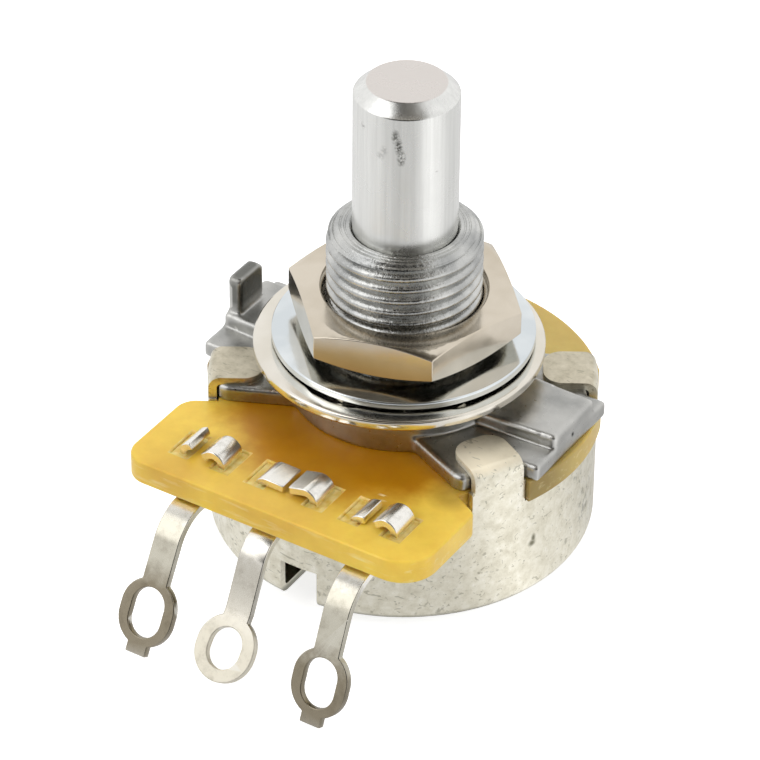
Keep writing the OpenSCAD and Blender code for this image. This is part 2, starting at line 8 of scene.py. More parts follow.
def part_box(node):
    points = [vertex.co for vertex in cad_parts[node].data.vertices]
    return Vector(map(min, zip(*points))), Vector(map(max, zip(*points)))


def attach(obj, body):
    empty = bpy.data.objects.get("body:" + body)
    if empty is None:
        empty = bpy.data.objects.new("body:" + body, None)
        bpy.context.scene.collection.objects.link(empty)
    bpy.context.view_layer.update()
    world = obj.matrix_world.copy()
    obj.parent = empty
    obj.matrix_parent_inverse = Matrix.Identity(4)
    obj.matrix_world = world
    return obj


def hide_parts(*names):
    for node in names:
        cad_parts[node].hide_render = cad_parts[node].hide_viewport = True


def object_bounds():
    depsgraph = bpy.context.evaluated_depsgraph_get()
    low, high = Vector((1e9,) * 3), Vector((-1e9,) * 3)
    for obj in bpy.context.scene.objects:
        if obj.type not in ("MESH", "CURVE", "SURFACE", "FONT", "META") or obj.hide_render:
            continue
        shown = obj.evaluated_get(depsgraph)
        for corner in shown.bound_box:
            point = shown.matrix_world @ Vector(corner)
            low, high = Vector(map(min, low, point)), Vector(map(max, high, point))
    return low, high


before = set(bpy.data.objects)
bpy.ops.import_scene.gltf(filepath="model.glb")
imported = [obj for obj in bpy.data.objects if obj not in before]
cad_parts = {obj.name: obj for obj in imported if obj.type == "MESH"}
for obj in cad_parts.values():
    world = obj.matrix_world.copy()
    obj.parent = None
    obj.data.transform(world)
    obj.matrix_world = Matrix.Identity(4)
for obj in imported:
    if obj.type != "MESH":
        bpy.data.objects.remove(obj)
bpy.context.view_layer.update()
mm = 0.001
print("frame loaded:", len(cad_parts), "nodes")


def hexColour(code):
    parts = [int(code[i:i + 2], 16) / 255 for i in (1, 3, 5)]
    return [((c + 0.055) / 1.055) ** 2.4 if c > 0.04045 else c / 12.92 for c in parts] + [1.0]


def perMm(size):  # pattern scale that gives features of this many millimetres on metre coordinates
    return 1 / (size * mm)


def addNode(tree, kind, inputs=None, **settings):
    node = tree.nodes.new(kind)
    for name, value in settings.items():
        setattr(node, name, value)
    for name, value in (inputs or {}).items():
        if isinstance(value, bpy.types.NodeSocket):
            tree.links.new(value, node.inputs[name])
        else:
            node.inputs[name].default_value = value
    return node


def newFinish(name, **shader):
    finish = bpy.data.materials.new(name)
    finish.use_nodes = True
    tree = finish.node_tree
    skin = tree.nodes["Principled BSDF"]
    for socket, value in shader.items():
        skin.inputs[socket.replace("_", " ")].default_value = value
    place = addNode(tree, "ShaderNodeTexCoord").outputs["Object"]
    return finish, tree, skin, place


def newPaint(name):  # an empty material, for the floor and the cards
    paint = bpy.data.materials.new(name)
    paint.use_nodes = True
    paint.node_tree.nodes.clear()
    return paint, paint.node_tree


def coat(tree, skin, **outputs):
    for socket, output in outputs.items():
        tree.links.new(output, skin.inputs[socket.replace("_", " ")])


def setRamp(node, stops):  # a stop's colour is a hex code, or a number for a plain level
    ramp = node.color_ramp
    while len(ramp.elements) < len(stops):
        ramp.elements.new(1.0)
    for element, (at, colour) in zip(ramp.elements, stops):
        element.position = at
        element.color = hexColour(colour) if isinstance(colour, str) else (colour, colour, colour, 1)
    return node.outputs["Color"]


# Marks are rows of x, y and z of the middle, reach across and along the shaft, in millimetres, and strength
def markMask(tree, place, marks):
    mask = None
    for x, y, z, across, along, weight in marks:
        shifted = addNode(tree, "ShaderNodeMapping", {
            "Vector": place, "Location": (-x * mm, -y * mm, -z * mm)})
        scaled = addNode(tree, "ShaderNodeMapping", {
            "Vector": shifted.outputs["Vector"], "Scale": (perMm(across), perMm(across), perMm(along))})
        reach = addNode(tree, "ShaderNodeVectorMath", {0: scaled.outputs["Vector"]}, operation="LENGTH")
        spot = addNode(tree, "ShaderNodeMapRange", {
            "Value": reach.outputs["Value"], "From Min": 0.3, "From Max": 1.0,
            "To Min": weight, "To Max": 0.0})
        mask = spot.outputs["Result"] if mask is None else addNode(
            tree, "ShaderNodeMath", {0: mask, 1: spot.outputs["Result"]}, operation="MAXIMUM").outputs[0]
    return mask


def deselect():
    if bpy.context.object and bpy.context.object.mode == "EDIT":
        bpy.ops.object.mode_set(mode="OBJECT")
    bpy.ops.object.select_all(action="DESELECT")


def pick(piece):
    deselect()
    bpy.context.view_layer.objects.active = piece
    piece.select_set(True)


def editAll(piece):
    pick(piece)
    bpy.ops.object.mode_set(mode="EDIT")
    bpy.ops.mesh.select_all(action="SELECT")


def modify(piece, kind, **settings):
    pick(piece)
    modifier = piece.modifiers.new(kind.title(), kind)
    for name, value in settings.items():
        setattr(modifier, name, value)
    bpy.ops.object.modifier_apply(modifier=modifier.name)


def bevelSharp(piece, width, segments, angle, clamp=True):  # rounds every edge sharper than this angle
    modify(piece, "BEVEL", width=width * mm, segments=segments, limit_method="ANGLE",
           angle_limit=math.radians(angle), use_clamp_overlap=clamp)


def bevelChosen(piece, chosen, offset, segments, **settings):  # rounds the edges that a test picks
    pick(piece)
    bpy.ops.object.mode_set(mode="EDIT")
    bpy.ops.mesh.select_mode(type="EDGE")
    bpy.ops.mesh.select_all(action="DESELECT")
    mesh = bmesh.from_edit_mesh(piece.data)
    for edge in mesh.edges:
        if chosen(edge):
            edge.select_set(True)
    bmesh.update_edit_mesh(piece.data)
    bpy.ops.mesh.bevel(offset=offset * mm, segments=segments, affect="EDGES", **settings)
    bpy.ops.object.mode_set(mode="OBJECT")


def copyNode(node, name):  # a merged copy of a CAD node, to be worked on as a new piece
    piece = bpy.data.objects.new(name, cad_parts[node].data.copy())
    bpy.context.scene.collection.objects.link(piece)
    editAll(piece)
    bpy.ops.mesh.remove_doubles(threshold=0.001 * mm)
    bpy.ops.mesh.dissolve_limited(angle_limit=math.radians(1))
    bpy.ops.object.mode_set(mode="OBJECT")
    return piece


def drawLine(name, points):  # a line of edges through (radius, height) points in millimetres
    deselect()
    first = Vector((points[0][0], 0, points[0][1])) * mm
    bpy.ops.mesh.primitive_plane_add(size=0.1 * mm, location=first)
    piece = bpy.context.object
    piece.name = name
    bpy.ops.object.transform_apply(location=True, rotation=True, scale=True)
    bpy.ops.object.mode_set(mode="EDIT")
    bpy.ops.mesh.select_mode(type="VERT")
    bpy.ops.mesh.select_all(action="SELECT")
    bpy.ops.mesh.merge(type="CENTER")
    for before, after in zip(points, points[1:]):
        step = ((after[0] - before[0]) * mm, 0, (after[1] - before[1]) * mm)
        bpy.ops.mesh.extrude_region_move(TRANSFORM_OT_translate={"value": step})
    bpy.ops.object.mode_set(mode="OBJECT")
    return piece


def turnLine(piece, steps, lead=0.0, turns=1):  # spins the line about the shaft's axis
    modify(piece, "SCREW", axis="Z", angle=2 * math.pi, screw_offset=lead, iterations=turns,
           steps=steps, render_steps=steps, use_merge_vertices=True, merge_threshold=0.0005 * mm)
    editAll(piece)
    bpy.ops.mesh.remove_doubles(threshold=0.0005 * mm)
    bpy.ops.mesh.normals_make_consistent(inside=False)
    bpy.ops.object.mode_set(mode="OBJECT")


def roundCorners(corners, radius, cuts=4):  # the closed line round these corners, each of them rounded
    line = []
    for i, here in enumerate(corners):
        a, b, c = Vector(corners[i - 1]), Vector(here), Vector(corners[(i + 1) % len(corners)])
        r = min(radius, (a - b).length * 0.45, (c - b).length * 0.45)
        start, end = b + (a - b).normalized() * r, b + (c - b).normalized() * r
        for k in range(cuts + 1):
            t = k / cuts
            line.append(tuple(start * (1 - t) ** 2 + b * 2 * t * (1 - t) + end * t ** 2))
    return line + line[:1]


def cutAway(piece, tool):
    modify(piece, "BOOLEAN", operation="DIFFERENCE", object=tool, solver="EXACT")
    bpy.data.objects.remove(tool)


def finishPiece(piece, finish, body, node, angle=35, flatten=True):
    pick(piece)
    if finish:
        piece.data.materials.clear()
        piece.data.materials.append(finish)
    bpy.ops.object.shade_smooth_by_angle(angle=math.radians(angle))
    if flatten:  # big faces keep their own normal, so that only the bends between them shade softly
        modify(piece, "WEIGHTED_NORMAL", keep_sharp=True)
    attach(piece, body)
    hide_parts(node)
    print("piece", piece.name, len(piece.data.polygons), "faces")


shaftLook = {"edge": 0.07, "rimDepth": 0.8, "rimAngle": 0.3, "endFrom": 30.7, "endBlend": 0.04, "scuffs": [
    (1.1, -2.98, 28.85, 0.3, 0.6, 0.8), (1.28, -2.91, 28.2, 0.3, 0.7, 0.95),
    (1.42, -2.84, 27.45, 0.3, 0.7, 0.9), (0.42, -3.14, 27.8, 0.3, 0.4, 0.3),
    (0.2, -3.16, 27.4, 0.34, 0.3, 0.28),
    (-1.13, -2.97, 28.9, 0.22, 0.3, 0.45), (2.9, -1.28, 26.2, 0.12, 0.12, 0.5)]}


def turnedAluminium():
    # Drawn and turned aluminium bar: pale and satin, with long faint streaks, a rosy end face and scuffs
    look = shaftLook
    finish, tree, skin, place = newFinish("turnedAluminium", Metallic=1.0)
    along = addNode(tree, "ShaderNodeMapping", {"Vector": place, "Scale": (1.0, 1.0, 0.03)})
    streaks = addNode(tree, "ShaderNodeTexNoise", {
        "Vector": along.outputs["Vector"], "Scale": perMm(0.35), "Detail": 5.0, "Roughness": 0.6})
    cloud = addNode(tree, "ShaderNodeTexNoise", {"Vector": place, "Scale": perMm(2.2), "Detail": 3.0})
    fine = addNode(tree, "ShaderNodeTexNoise", {"Vector": place, "Scale": perMm(0.16), "Detail": 3.0})
    tone = setRamp(addNode(tree, "ShaderNodeValToRGB", {"Fac": streaks.outputs["Fac"]}),
                   [(0.3, "#dfdfdc"), (0.7, "#efefec")])
    endFace = addNode(tree, "ShaderNodeMapRange", {
        "Value": addNode(tree, "ShaderNodeSeparateXYZ", {"Vector": place}).outputs["Z"],
        "From Min": look["endFrom"] * mm, "From Max": (look["endFrom"] + look["endBlend"]) * mm})
    tone = addNode(tree, "ShaderNodeMix", {
        "Factor": endFace.outputs["Result"], "A": tone, "B": hexColour("#ddd7d2")}, data_type="RGBA")
    broken = addNode(tree, "ShaderNodeMapRange", {
        "Value": fine.outputs["Fac"], "From Min": 0.34, "From Max": 0.56})
    smudge = addNode(tree, "ShaderNodeMath", {
        0: markMask(tree, place, look["scuffs"]), 1: broken.outputs["Result"]}, operation="MULTIPLY")
    tone = addNode(tree, "ShaderNodeMix", {
        "Factor": smudge.outputs[0], "A": tone.outputs["Result"], "B": hexColour("#55554f")},
        data_type="RGBA")
    rough = addNode(tree, "ShaderNodeMapRange", {
        "Value": cloud.outputs["Fac"], "From Min": 0.3, "From Max": 0.7, "To Min": 0.24, "To Max": 0.32})
    bump = addNode(tree, "ShaderNodeBump", {
        "Height": streaks.outputs["Fac"], "Strength": 0.2, "Distance": 0.015 * mm})
    coat(tree, skin, Base_Color=tone.outputs["Result"], Roughness=rough.outputs["Result"],
         Normal=bump.outputs["Normal"])
    return finish


def makeShaft():
    look = shaftLook
    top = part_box("shaft")[1].z / mm

    def onRim(edge):
        heights = [v.co.z / mm for v in edge.verts]
        level = abs(heights[0] - heights[1]) < 0.01
        sharp = (edge.calc_face_angle(0) or 0) > look["rimAngle"]
        return level and sharp and min(heights) > top - look["rimDepth"]

    piece = copyNode("shaft", "turnedShaft")
    bevelChosen(piece, onRim, look["edge"], 3)
    finishPiece(piece, turnedAluminium(), "rotor", "shaft")


makeShaft()

# The profile is one pitch of the thread: part of the pitch, and part of the way from root to crest
threadLook = {"pitch": 25.4 / 32, "crest": 4.72, "root": 4.26, "bore": 3.215, "foot": 11.68, "chamfer": 0.6,
              "mouth": 0.12, "steps": 96, "mouthSteps": 128, "overrun": 0.4, "toolLip": 0.1, "toolReach": 1,
              "profile": [(0.0, 0.0), (0.05, 0.1), (0.15, 0.48), (0.27, 0.84), (0.38, 0.97), (0.5, 1.0),
                          (0.62, 0.97), (0.73, 0.84), (0.85, 0.48), (0.95, 0.1), (1.0, 0.0)],
              "grooves": [(3.6, 0.05), (3.88, 0.05), (4.28, 0.08), (4.5, 0.08)],
              "grooveShape": [(-0.08, 0), (-0.03, 1), (0.03, 1), (0.08, 0)]}
castLook = {"coreRadius": 5.1, "crumb": 0.03, "voxel": 0.13, "swell": 0.06, "softening": 5, "keep": 0.4,
            "pit": [(11.85, 0.06, 10.0, 0.2, 0.2, 1.0)],
            "lugX": (-10.45, -10.8), "lugZ": (11.1, 11.8), "lugWeight": 0.9}


def castZinc(name, dark, light, wear, grainDepth, roughLow, roughHigh):
    # Die-cast zinc alloy, unplated: neutral grey satin with a fine granular skin, edges lighter with wear
    # and a painted highlight, a lug darkened with painted shade and one pit in the flange's end
    look = castLook
    finish, tree, skin, place = newFinish(name, Metallic=1.0)
    grain = addNode(tree, "ShaderNodeTexNoise", {
        "Vector": place, "Scale": perMm(0.28), "Detail": 4.0, "Roughness": 0.6})
    patches = addNode(tree, "ShaderNodeTexNoise", {"Vector": place, "Scale": perMm(2.0), "Detail": 5.0})
    tone = setRamp(addNode(tree, "ShaderNodeValToRGB", {"Fac": patches.outputs["Fac"]}),
                   [(0.34, dark), (0.66, light)])
    apart = addNode(tree, "ShaderNodeSeparateXYZ", {"Vector": place})
    # Painted shade: the lug is darkened towards its outer end and its upper part
    lugEnd = addNode(tree, "ShaderNodeMapRange", {
        "Value": apart.outputs["X"], "From Min": look["lugX"][0] * mm, "From Max": look["lugX"][1] * mm,
        "To Min": 0.0, "To Max": look["lugWeight"]})
    lugTop = addNode(tree, "ShaderNodeMapRange", {
        "Value": apart.outputs["Z"], "From Min": look["lugZ"][0] * mm, "From Max": look["lugZ"][1] * mm})
    lug = addNode(tree, "ShaderNodeMath", {
        0: lugEnd.outputs["Result"], 1: lugTop.outputs["Result"]}, operation="MULTIPLY")
    tone = addNode(tree, "ShaderNodeMix", {
        "Factor": lug.outputs[0], "A": tone, "B": hexColour("#6a6a65")}, data_type="RGBA")
    # Edges lighter by pointiness: partly wear, partly a painted highlight
    edge = addNode(tree, "ShaderNodeMapRange", {
        "Value": addNode(tree, "ShaderNodeNewGeometry").outputs["Pointiness"],
        "From Min": 0.51, "From Max": 0.58, "To Min": 0.0, "To Max": wear})
    tone = addNode(tree, "ShaderNodeMix", {
        "Factor": edge.outputs["Result"], "A": tone.outputs["Result"], "B": hexColour("#e2e1dd")},
        data_type="RGBA")
    tone = addNode(tree, "ShaderNodeMix", {
        "Factor": markMask(tree, place, look["pit"]), "A": tone.outputs["Result"],
        "B": hexColour("#242422")}, data_type="RGBA")
    rough = addNode(tree, "ShaderNodeMapRange", {
        "Value": grain.outputs["Fac"], "From Min": 0.3, "From Max": 0.7,
        "To Min": roughLow, "To Max": roughHigh})
    bump = addNode(tree, "ShaderNodeBump", {
        "Height": grain.outputs["Fac"], "Strength": 0.6, "Distance": grainDepth * mm})
    coat(tree, skin, Base_Color=tone.outputs["Result"], Roughness=rough.outputs["Result"],
         Normal=bump.outputs["Normal"])
    return finish


def makeThread():
    look = threadLook
    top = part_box("bushing_plate")[1].z / mm
    pitch, crest, root = look["pitch"], look["crest"], look["root"]
    start = look["foot"] - 2 * pitch
    turns = math.ceil((top - start) / pitch) + 2
    piece = drawLine("bushingThread",
                     [(root + (crest - root) * h, start + pitch * z) for z, h in look["profile"]])
    turnLine(piece, look["steps"], lead=pitch * mm, turns=turns)
    editAll(piece)
    for height, below in ((look["foot"], True), (top + look["overrun"], False)):
        bpy.ops.mesh.select_all(action="SELECT")
        bpy.ops.mesh.bisect(plane_co=(0, 0, height * mm), plane_no=(0, 0, 1), use_fill=True,
                            clear_inner=below, clear_outer=not below)
    bpy.ops.mesh.select_all(action="SELECT")
    bpy.ops.mesh.normals_make_consistent(inside=False)
    bpy.ops.object.mode_set(mode="OBJECT")
    # The cutter is the grooved face, the chamfered mouth and the bore, taken away in one go
    bore, chamfer, mouth = look["bore"], look["chamfer"], look["mouth"]
    rim = crest - chamfer
    face = [(bore + mouth, top)]
    for r, depth in look["grooves"]:
        face += [(r + across, top - max(0, r + across - rim) - depth * share)
                 for across, share in look["grooveShape"]]
    innerGrooves = sum(r < rim for r, depth in look["grooves"])
    face.insert(1 + len(look["grooveShape"]) * innerGrooves, (rim, top))
    lip, reach = look["toolLip"], look["toolReach"]
    low, high, shoulder = look["foot"] - reach, top + reach, top - chamfer - lip
    tool = drawLine("mouthTool", [(0, low), (bore, low), (bore, top - mouth)] + face + [
        (crest + lip, shoulder), (crest + reach, shoulder), (crest + reach, high), (0, high)])
    turnLine(tool, look["mouthSteps"])
    cutAway(piece, tool)
    finish = castZinc("cutZinc", "#a6a7a6", "#d2d2cf", 0.0, 0.06, 0.16, 0.32)
    finishPiece(piece, finish, "housing", "bushing_plate", angle=32, flatten=False)


def makeCasting():
    look = castLook
    piece = copyNode("bushing_plate", "zincCasting")
    deselect()
    low, high = threadLook["foot"] * mm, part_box("bushing_plate")[1].z + mm
    bpy.ops.mesh.primitive_cylinder_add(vertices=96, radius=look["coreRadius"] * mm, depth=high - low,
                                        location=(0, 0, (high + low) / 2))
    cutAway(piece, bpy.context.object)
    modify(piece, "REMESH", mode="VOXEL", voxel_size=look["voxel"] * mm)
    modify(piece, "DISPLACE", strength=look["swell"] * mm, mid_level=0.0)
    modify(piece, "SMOOTH", factor=0.5, iterations=look["softening"])
    modify(piece, "DECIMATE", ratio=look["keep"])
    editAll(piece)
    bpy.ops.mesh.dissolve_degenerate(threshold=look["crumb"] * mm)
    bpy.ops.object.mode_set(mode="OBJECT")
    finish = castZinc("castZinc", "#a3a3a0", "#c3c2be", 0.7, 0.02, 0.26, 0.4)
    finishPiece(piece, finish, "housing", "bushing_plate", angle=60, flatten=False)


makeThread()
makeCasting()

nutLook = {"edge": 0.1, "tilt": 1.1, "tiltAxis": 62}
washerLook = {"hole": 5.1, "corner": 0.11, "steps": 144, "edge": 0.05,
              "dish": 7, "dishFrom": 6.8, "sink": 0.1}


def platedSteel(name, dark, light, roughLow, roughHigh, markDepth):
    # Bright plating on stamped or machined steel: a colour cast, faint marks and soft clouding
    finish, tree, skin, place = newFinish(name, Metallic=1.0)
    marks = addNode(tree, "ShaderNodeTexNoise", {
        "Vector": place, "Scale": perMm(0.6), "Detail": 3.0, "Roughness": 0.55})
    cloud = addNode(tree, "ShaderNodeTexNoise", {"Vector": place, "Scale": perMm(3.0), "Detail": 2.0})
    tone = setRamp(addNode(tree, "ShaderNodeValToRGB", {"Fac": cloud.outputs["Fac"]}),
                   [(0.32, dark), (0.66, light)])
    rough = addNode(tree, "ShaderNodeMapRange", {
        "Value": marks.outputs["Fac"], "From Min": 0.3, "From Max": 0.7,
        "To Min": roughLow, "To Max": roughHigh})
    bump = addNode(tree, "ShaderNodeBump", {
        "Height": marks.outputs["Fac"], "Strength": 0.5, "Distance": markDepth * mm})
    coat(tree, skin, Base_Color=tone, Roughness=rough.outputs["Result"], Normal=bump.outputs["Normal"])
    return finish


def makeNut():
    look = nutLook
    piece = copyNode("hex_nut", "hexNut")
    bevelSharp(piece, look["edge"], 3, 28)
    low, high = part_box("hex_nut")
    axis = math.radians(look["tiltAxis"])
    turn = Matrix.Rotation(math.radians(look["tilt"]), 4, Vector((math.cos(axis), math.sin(axis), 0)))
    centre = Matrix.Translation((low + high) / 2)
    piece.data.transform(centre @ turn @ centre.inverted())
    finish = platedSteel("warmNickelPlate", "#cdc2b0", "#dbd1c1", 0.12, 0.18, 0.0025)
    finishPiece(piece, finish, "housing", "hex_nut", angle=25)


def makeWashers():
    look = washerLook
    low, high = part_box("flat_washer")
    hole, rim, zLow, zHigh = look["hole"], high.x / mm, low.z / mm, high.z / mm
    flat = drawLine("flatWasher", roundCorners(
        [(hole, zLow), (rim, zLow), (rim, zHigh), (hole, zHigh)], look["corner"]))
    turnLine(flat, look["steps"])
    finish = platedSteel("blueZincPlate", "#d6dcdf", "#e8eced", 0.1, 0.17, 0.001)
    finishPiece(flat, finish, "housing", "flat_washer")
    lock = copyNode("lock_washer", "lockWasher")
    bevelSharp(lock, look["edge"], 2, 28)
    for point in lock.data.vertices:  # the rim is dished upwards
        outward = max(0, point.co.xy.length - look["dishFrom"] * mm)
        point.co.z += outward * math.tan(math.radians(look["dish"])) - look["sink"] * mm
    finish = platedSteel("nickelPlate", "#dfd9cc", "#ece7dd", 0.12, 0.2, 0.0015)
    finishPiece(lock, finish, "housing", "lock_washer")


makeNut()
makeWashers()

canLook = {"edge": 0.05, "earDepth": (0.4, 0.1), "bottomShade": (0.25, 0.6),
           "paintedEarLight": [(8.6, -7.0, 10.5, 4.6, 1.6, 1.0)],
           "dentShade": [(11.42, -3.4, 4.25, 0.22, 0.4, 1.0), (11.4, -3.5, 3.9, 0.36, 0.3, 1.0)]}


def tinPlate():
    # Tin-plated deep-drawn steel: warm white satin with a frosty mottle, dark specks, fine scratches and a
    # dent's painted shade; painted shade on the ears' tops and towards the bottom edge, painted light on the
    # right front ear
    look = canLook
    finish, tree, skin, place = newFinish("tinPlatedSteel", Metallic=1.0)
    frost = addNode(tree, "ShaderNodeTexNoise", {
        "Vector": place, "Scale": perMm(0.7), "Detail": 6.0, "Roughness": 0.7})
    pits = addNode(tree, "ShaderNodeTexNoise", {
        "Vector": place, "Scale": perMm(0.55), "Detail": 3.0, "Roughness": 0.6})
    patches = addNode(tree, "ShaderNodeTexNoise", {"Vector": place, "Scale": perMm(3.5), "Detail": 2.0})
    tone = setRamp(addNode(tree, "ShaderNodeValToRGB", {"Fac": frost.outputs["Fac"]}),
                   [(0.3, "#d9d3bf"), (0.5, "#ece7d5"), (0.7, "#faf6e8")])
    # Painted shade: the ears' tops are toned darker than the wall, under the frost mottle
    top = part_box("rear_cover")[1].z
    height = addNode(tree, "ShaderNodeSeparateXYZ", {"Vector": place}).outputs["Z"]
    onEars = addNode(tree, "ShaderNodeMapRange", {
        "Value": height, "From Min": top - look["earDepth"][0] * mm,
        "From Max": top - look["earDepth"][1] * mm})
    earShadeAndLight = setRamp(addNode(tree, "ShaderNodeValToRGB", {"Fac": frost.outputs["Fac"]}),
                      [(0.3, "#b3ab95"), (0.45, "#c9c1ac"), (0.7, "#dbd3bf")])
    # Painted light: the right front ear's top is lightened to a cream
    paintedEarLight = markMask(tree, place, look["paintedEarLight"])
    earShadeAndLight = addNode(tree, "ShaderNodeMix", {
        "Factor": paintedEarLight, "A": earShadeAndLight, "B": hexColour("#fbf0d6")}, data_type="RGBA")
    tone = addNode(tree, "ShaderNodeMix", {
        "Factor": onEars.outputs["Result"], "A": tone, "B": earShadeAndLight.outputs["Result"]}, data_type="RGBA")
    # Painted shade: the wall darkens towards its bottom edge, as a contact shadow would
    bottomShade = addNode(tree, "ShaderNodeMapRange", {
        "Value": height, "From Min": look["bottomShade"][0] * mm, "From Max": look["bottomShade"][1] * mm,
        "To Min": 0.85, "To Max": 0.0})
    tone = addNode(tree, "ShaderNodeMix", {
        "Factor": bottomShade.outputs["Result"], "A": tone.outputs["Result"], "B": hexColour("#77766a")},
        data_type="RGBA")
    where = addNode(tree, "ShaderNodeMath", {
        0: pits.outputs["Fac"], 1: patches.outputs["Fac"]}, operation="MULTIPLY")
    speck = addNode(tree, "ShaderNodeMapRange", {
        "Value": where.outputs[0], "From Min": 0.37, "From Max": 0.45, "To Min": 0.0, "To Max": 0.55})
    drawn = addNode(tree, "ShaderNodeMapping", {
        "Vector": place, "Rotation": (0.5, 0.3, 0.9), "Scale": (0.25, 1.0, 1.0)})
    hair = addNode(tree, "ShaderNodeTexNoise", {
        "Vector": drawn.outputs["Vector"], "Scale": perMm(0.3), "Detail": 1.0, "Distortion": 1.2})
    hairline = addNode(tree, "ShaderNodeMapRange", {
        "Value": hair.outputs["Fac"], "From Min": 0.66, "From Max": 0.7, "To Min": 0.0, "To Max": 0.45})
    mark = addNode(tree, "ShaderNodeMath", {
        0: speck.outputs["Result"], 1: hairline.outputs["Result"]}, operation="MAXIMUM")
    # The dent is painted as dark spots of shade; the specks and scratches are real marks
    mark = addNode(tree, "ShaderNodeMath", {
        0: mark.outputs[0], 1: markMask(tree, place, look["dentShade"])}, operation="MAXIMUM")
    tone = addNode(tree, "ShaderNodeMix", {
        "Factor": mark.outputs[0], "A": tone.outputs["Result"], "B": hexColour("#85826f")}, data_type="RGBA")
    rough = addNode(tree, "ShaderNodeMapRange", {
        "Value": frost.outputs["Fac"], "From Min": 0.3, "From Max": 0.7, "To Min": 0.4, "To Max": 0.26})
    rough = addNode(tree, "ShaderNodeMix", {
        "Factor": onEars.outputs["Result"], "A": rough.outputs["Result"], "B": 0.4}, data_type="FLOAT")
    # Less metallic where the painted light lies on the right front ear, so the lamps light it
    paintedLightMetallic = addNode(tree, "ShaderNodeMapRange", {"Value": paintedEarLight, "To Min": 1.0, "To Max": 0.35})
    bump = addNode(tree, "ShaderNodeBump", {
        "Height": frost.outputs["Fac"], "Strength": 0.4, "Distance": 0.01 * mm})
    coat(tree, skin, Base_Color=tone.outputs["Result"], Metallic=paintedLightMetallic.outputs["Result"],
         Roughness=rough.outputs["Result"], Normal=bump.outputs["Normal"])
    return finish


def makeCan():
    piece = copyNode("rear_cover", "drawnCan")
    bevelSharp(piece, canLook["edge"], 2, 50)
    finishPiece(piece, tinPlate(), "housing", "rear_cover")


makeCan()

stripLook = {"edge": 0.07, "sway": 0.8, "bendAt": -14.0, "tipAt": -21.0}


def tinnedStrip(name, neck, eyelet, roughNeck, roughEyelet):
    # Tinned sheet brass, silvery with faint stains: painted highlights on the bend and the edges, and a
    # painted eyelet tone
    look = stripLook
    finish, tree, skin, place = newFinish(name, Metallic=1.0)
    marks = addNode(tree, "ShaderNodeTexNoise", {"Vector": place, "Scale": perMm(0.5), "Detail": 4.0})
    apart = addNode(tree, "ShaderNodeSeparateXYZ", {"Vector": place})
    swayed = addNode(tree, "ShaderNodeMath", {
        0: marks.outputs["Fac"], 1: look["sway"] * mm, 2: apart.outputs["Y"]}, operation="MULTIPLY_ADD")
    outward = addNode(tree, "ShaderNodeMapRange", {
        "Value": swayed.outputs[0], "From Min": look["bendAt"] * mm, "From Max": look["tipAt"] * mm})
    # Painted light and shade along the strip: a painted highlight on the bend, then the neck's tone, then
    # the eyelet's
    tone = setRamp(addNode(tree, "ShaderNodeValToRGB", {"Fac": outward.outputs["Result"]}),
                   [(0.0, "#fffdf8"), (0.14, "#fffdf8"), (0.3, neck), (0.5, neck), (0.62, eyelet)])
    stainAndShadow = addNode(tree, "ShaderNodeTexNoise", {
        "Vector": place, "Scale": perMm(0.9), "Detail": 6.0, "Roughness": 0.65})
    shade = setRamp(addNode(tree, "ShaderNodeValToRGB", {"Fac": stainAndShadow.outputs["Fac"]}),
                    [(0.3, "#dedcd8"), (0.5, "#f6f5f3"), (1.0, "#ffffff")])
    tone = addNode(tree, "ShaderNodeMix", {
        "Factor": 1.0, "A": tone, "B": shade}, data_type="RGBA", blend_type="MULTIPLY")
    # Painted highlight along the sharp edges, by pointiness
    edge = addNode(tree, "ShaderNodeMapRange", {
        "Value": addNode(tree, "ShaderNodeNewGeometry").outputs["Pointiness"],
        "From Min": 0.53, "From Max": 0.6, "To Min": 0.0, "To Max": 0.6})
    tone = addNode(tree, "ShaderNodeMix", {
        "Factor": edge.outputs["Result"], "A": tone.outputs["Result"], "B": hexColour("#f4f2ea")},
        data_type="RGBA")
    rough = addNode(tree, "ShaderNodeMapRange", {
        "Value": outward.outputs["Result"], "From Min": 0.5, "From Max": 0.62,
        "To Min": roughNeck, "To Max": roughEyelet})
    bump = addNode(tree, "ShaderNodeBump", {
        "Height": marks.outputs["Fac"], "Strength": 0.4, "Distance": 0.004 * mm})
    coat(tree, skin, Base_Color=tone.outputs["Result"], Roughness=rough.outputs["Result"],
         Normal=bump.outputs["Normal"])
    return finish


def makeTerminals():
    # The outer strips' eyelets are darkened with painted shade, the middle strip's eyelet is lightened with
    # painted light
    shadedEyelets = tinnedStrip("tinnedBrassShadedEyelet", "#d0ccbe", "#978e7c", 0.24, 0.26)
    bright = tinnedStrip("tinnedBrassLitEyelet", "#cac6bc", "#f4efe0", 0.24, 0.5)
    for node, name, finish in (("terminal_left", "leftTerminal", shadedEyelets),
                               ("terminal_middle", "middleTerminal", bright),
                               ("terminal_right", "rightTerminal", shadedEyelets)):
        strip = copyNode(node, name)
        bevelSharp(strip, stripLook["edge"], 3, 50, clamp=False)
        finishPiece(strip, finish, "housing", node)


makeTerminals()

